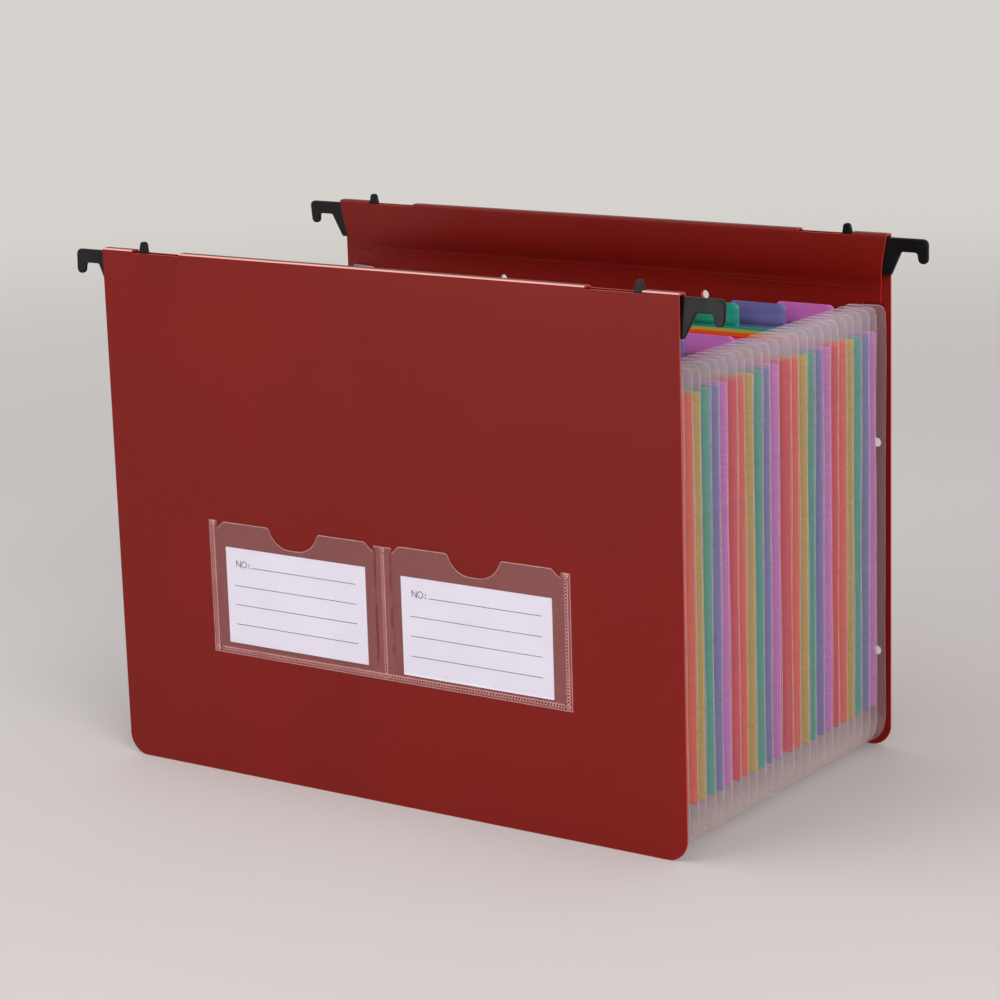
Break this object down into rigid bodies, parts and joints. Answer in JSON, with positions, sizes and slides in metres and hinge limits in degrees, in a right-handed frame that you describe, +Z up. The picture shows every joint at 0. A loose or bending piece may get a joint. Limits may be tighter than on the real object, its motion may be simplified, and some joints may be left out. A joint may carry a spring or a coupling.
{
  "type": "accordion file folder",
  "caption": "Hanging accordion file: red plastic covers with hemmed pull-out rail hooks, frosted pleated bellows, coloured tabbed dividers and a clear label pocket with cards.",
  "frame": {"origin": "the middle of the footprint, on the surface that the two covers stand on", "axes": "+X runs along the width to the right as seen from the front, +Y from the front cover to the back cover, +Z up"},
  "size_m": [0.3492, 0.1848, 0.2458],
  "materials": {
    "cover_red": "translucent deep red polypropylene sheet with a fine satin grain",
    "pocket_clear": "clear glossy film, a little cloudy, with ribbed weld seams",
    "card_paper": "smooth white card with pale grey writing lines",
    "hook_black": "black moulded plastic with a low sheen",
    "bellows_frosted": "frosted clear polypropylene film",
    "divider_red": "translucent red polypropylene sheet",
    "divider_orange": "translucent orange polypropylene sheet",
    "divider_yellow": "translucent yellow polypropylene sheet",
    "divider_green": "translucent green polypropylene sheet",
    "divider_blue": "translucent blue polypropylene sheet",
    "divider_purple": "translucent purple polypropylene sheet"
  },
  "bodies": {
    "front_cover": {"front_cover": "cover_red", "label_pocket": "pocket_clear"},
    "divider_01": {"divider_01": "divider_red", "gusset_01": "bellows_frosted"},
    "divider_02": {"divider_02": "divider_orange", "gusset_02": "bellows_frosted"},
    "divider_03": {"divider_03": "divider_yellow", "gusset_03": "bellows_frosted"},
    "divider_04": {"divider_04": "divider_green", "gusset_04": "bellows_frosted"},
    "divider_05": {"divider_05": "divider_blue", "gusset_05": "bellows_frosted"},
    "divider_06": {"divider_06": "divider_purple", "gusset_06": "bellows_frosted"},
    "divider_07": {"divider_07": "divider_red", "gusset_07": "bellows_frosted"},
    "divider_08": {"divider_08": "divider_orange", "gusset_08": "bellows_frosted"},
    "divider_09": {"divider_09": "divider_yellow", "gusset_09": "bellows_frosted"},
    "divider_10": {"divider_10": "divider_green", "gusset_10": "bellows_frosted"},
    "divider_11": {"divider_11": "divider_blue", "gusset_11": "bellows_frosted"},
    "divider_12": {"divider_12": "divider_purple", "gusset_12": "bellows_frosted"},
    "divider_13": {"divider_13": "divider_red", "gusset_13": "bellows_frosted"},
    "divider_14": {"divider_14": "divider_orange", "gusset_14": "bellows_frosted"},
    "divider_15": {"divider_15": "divider_yellow", "gusset_15": "bellows_frosted"},
    "divider_16": {"divider_16": "divider_green", "gusset_16": "bellows_frosted"},
    "divider_17": {"divider_17": "divider_blue", "gusset_17": "bellows_frosted"},
    "divider_18": {"divider_18": "divider_purple", "gusset_18": "bellows_frosted"},
    "divider_19": {"divider_19": "divider_red", "gusset_19": "bellows_frosted"},
    "divider_20": {"divider_20": "divider_orange", "gusset_20": "bellows_frosted"},
    "divider_21": {"divider_21": "divider_yellow", "gusset_21": "bellows_frosted"},
    "divider_22": {"divider_22": "divider_green", "gusset_22": "bellows_frosted"},
    "divider_23": {"divider_23": "divider_blue", "gusset_23": "bellows_frosted"},
    "divider_24": {"divider_24": "divider_purple", "gusset_24": "bellows_frosted"},
    "back_cover": {"back_cover": "cover_red", "gusset_25": "bellows_frosted"},
    "hook_front_left": {"hook_front_left": "hook_black"},
    "hook_front_right": {"hook_front_right": "hook_black"},
    "hook_back_left": {"hook_back_left": "hook_black"},
    "hook_back_right": {"hook_back_right": "hook_black"},
    "label_card_left": {"label_card_left": "card_paper"},
    "label_card_right": {"label_card_right": "card_paper"}
  },
  "joints": [
    {"name": "pocket_01", "type": "slide", "parent": "front_cover", "child": "divider_01", "axis": [0, 1, 0], "range_m": [-0.00365, 0.00475], "deforming": ["gusset_01"]},
    {"name": "pocket_02", "type": "slide", "parent": "divider_01", "child": "divider_02", "axis": [0, 1, 0], "range_m": [-0.00543, 0.00706], "deforming": ["gusset_02"]},
    {"name": "pocket_03", "type": "slide", "parent": "divider_02", "child": "divider_03", "axis": [0, 1, 0], "range_m": [-0.004, 0.0052], "deforming": ["gusset_03"]},
    {"name": "pocket_04", "type": "slide", "parent": "divider_03", "child": "divider_04", "axis": [0, 1, 0], "range_m": [-0.00554, 0.0072], "deforming": ["gusset_04"]},
    {"name": "pocket_05", "type": "slide", "parent": "divider_04", "child": "divider_05", "axis": [0, 1, 0], "range_m": [-0.0047, 0.00612], "deforming": ["gusset_05"]},
    {"name": "pocket_06", "type": "slide", "parent": "divider_05", "child": "divider_06", "axis": [0, 1, 0], "range_m": [-0.00439, 0.00571], "deforming": ["gusset_06"]},
    {"name": "pocket_07", "type": "slide", "parent": "divider_06", "child": "divider_07", "axis": [0, 1, 0], "range_m": [-0.00568, 0.00739], "deforming": ["gusset_07"]},
    {"name": "pocket_08", "type": "slide", "parent": "divider_07", "child": "divider_08", "axis": [0, 1, 0], "range_m": [-0.00409, 0.00532], "deforming": ["gusset_08"]},
    {"name": "pocket_09", "type": "slide", "parent": "divider_08", "child": "divider_09", "axis": [0, 1, 0], "range_m": [-0.00515, 0.00669], "deforming": ["gusset_09"]},
    {"name": "pocket_10", "type": "slide", "parent": "divider_09", "child": "divider_10", "axis": [0, 1, 0], "range_m": [-0.00518, 0.00674], "deforming": ["gusset_10"]},
    {"name": "pocket_11", "type": "slide", "parent": "divider_10", "child": "divider_11", "axis": [0, 1, 0], "range_m": [-0.00408, 0.0053], "deforming": ["gusset_11"]},
    {"name": "pocket_12", "type": "slide", "parent": "divider_11", "child": "divider_12", "axis": [0, 1, 0], "range_m": [-0.00567, 0.00737], "deforming": ["gusset_12"]},
    {"name": "pocket_13", "type": "slide", "parent": "divider_12", "child": "divider_13", "axis": [0, 1, 0], "range_m": [-0.008, 0.0104], "deforming": ["gusset_13"]},
    {"name": "pocket_14", "type": "slide", "parent": "divider_13", "child": "divider_14", "axis": [0, 1, 0], "range_m": [-0.00467, 0.00607], "deforming": ["gusset_14"]},
    {"name": "pocket_15", "type": "slide", "parent": "divider_14", "child": "divider_15", "axis": [0, 1, 0], "range_m": [-0.00556, 0.00722], "deforming": ["gusset_15"]},
    {"name": "pocket_16", "type": "slide", "parent": "divider_15", "child": "divider_16", "axis": [0, 1, 0], "range_m": [-0.004, 0.0052], "deforming": ["gusset_16"]},
    {"name": "pocket_17", "type": "slide", "parent": "divider_16", "child": "divider_17", "axis": [0, 1, 0], "range_m": [-0.00541, 0.00703], "deforming": ["gusset_17"]},
    {"name": "pocket_18", "type": "slide", "parent": "divider_17", "child": "divider_18", "axis": [0, 1, 0], "range_m": [-0.00489, 0.00636], "deforming": ["gusset_18"]},
    {"name": "pocket_19", "type": "slide", "parent": "divider_18", "child": "divider_19", "axis": [0, 1, 0], "range_m": [-0.00425, 0.00552], "deforming": ["gusset_19"]},
    {"name": "pocket_20", "type": "slide", "parent": "divider_19", "child": "divider_20", "axis": [0, 1, 0], "range_m": [-0.00571, 0.00743], "deforming": ["gusset_20"]},
    {"name": "pocket_21", "type": "slide", "parent": "divider_20", "child": "divider_21", "axis": [0, 1, 0], "range_m": [-0.00419, 0.00545], "deforming": ["gusset_21"]},
    {"name": "pocket_22", "type": "slide", "parent": "divider_21", "child": "divider_22", "axis": [0, 1, 0], "range_m": [-0.00497, 0.00646], "deforming": ["gusset_22"]},
    {"name": "pocket_23", "type": "slide", "parent": "divider_22", "child": "divider_23", "axis": [0, 1, 0], "range_m": [-0.00534, 0.00695], "deforming": ["gusset_23"]},
    {"name": "pocket_24", "type": "slide", "parent": "divider_23", "child": "divider_24", "axis": [0, 1, 0], "range_m": [-0.00402, 0.00522], "deforming": ["gusset_24"]},
    {"name": "pocket_25", "type": "slide", "parent": "divider_24", "child": "back_cover", "axis": [0, 1, 0], "range_m": [-0.00645, 0.00839], "deforming": ["gusset_25"]},
    {"name": "hook_front_left_slide", "type": "slide", "parent": "front_cover", "child": "hook_front_left", "axis": [-1, 0, 0], "range_m": [-0.02, 0.002]},
    {"name": "hook_front_right_slide", "type": "slide", "parent": "front_cover", "child": "hook_front_right", "axis": [1, 0, 0], "range_m": [-0.022, 0]},
    {"name": "hook_back_left_slide", "type": "slide", "parent": "back_cover", "child": "hook_back_left", "axis": [-1, 0, 0], "range_m": [-0.022, 0]},
    {"name": "hook_back_right_slide", "type": "slide", "parent": "back_cover", "child": "hook_back_right", "axis": [1, 0, 0], "range_m": [-0.022, 0]},
    {"name": "label_card_left_slide", "type": "slide", "parent": "front_cover", "child": "label_card_left", "axis": [0, 0, 1], "range_m": [0, 0.052]},
    {"name": "label_card_right_slide", "type": "slide", "parent": "front_cover", "child": "label_card_right", "axis": [0, 0, 1], "range_m": [0, 0.052]}
  ],
  "couplings": [
    {"joint": "pocket_02", "follows": "pocket_01", "ratio": 1.4883},
    {"joint": "pocket_03", "follows": "pocket_01", "ratio": 1.0953},
    {"joint": "pocket_04", "follows": "pocket_01", "ratio": 1.5161},
    {"joint": "pocket_05", "follows": "pocket_01", "ratio": 1.2885},
    {"joint": "pocket_06", "follows": "pocket_01", "ratio": 1.2033},
    {"joint": "pocket_07", "follows": "pocket_01", "ratio": 1.5566},
    {"joint": "pocket_08", "follows": "pocket_01", "ratio": 1.1208},
    {"joint": "pocket_09", "follows": "pocket_01", "ratio": 1.4102},
    {"joint": "pocket_10", "follows": "pocket_01", "ratio": 1.4192},
    {"joint": "pocket_11", "follows": "pocket_01", "ratio": 1.1166},
    {"joint": "pocket_12", "follows": "pocket_01", "ratio": 1.5539},
    {"joint": "pocket_13", "follows": "pocket_01", "ratio": 2.1913},
    {"joint": "pocket_14", "follows": "pocket_01", "ratio": 1.2791},
    {"joint": "pocket_15", "follows": "pocket_01", "ratio": 1.5218},
    {"joint": "pocket_16", "follows": "pocket_01", "ratio": 1.0963},
    {"joint": "pocket_17", "follows": "pocket_01", "ratio": 1.4812},
    {"joint": "pocket_18", "follows": "pocket_01", "ratio": 1.3391},
    {"joint": "pocket_19", "follows": "pocket_01", "ratio": 1.1637},
    {"joint": "pocket_20", "follows": "pocket_01", "ratio": 1.5644},
    {"joint": "pocket_21", "follows": "pocket_01", "ratio": 1.1488},
    {"joint": "pocket_22", "follows": "pocket_01", "ratio": 1.361},
    {"joint": "pocket_23", "follows": "pocket_01", "ratio": 1.4637},
    {"joint": "pocket_24", "follows": "pocket_01", "ratio": 1.1001},
    {"joint": "pocket_25", "follows": "pocket_01", "ratio": 1.7671}
  ]
}
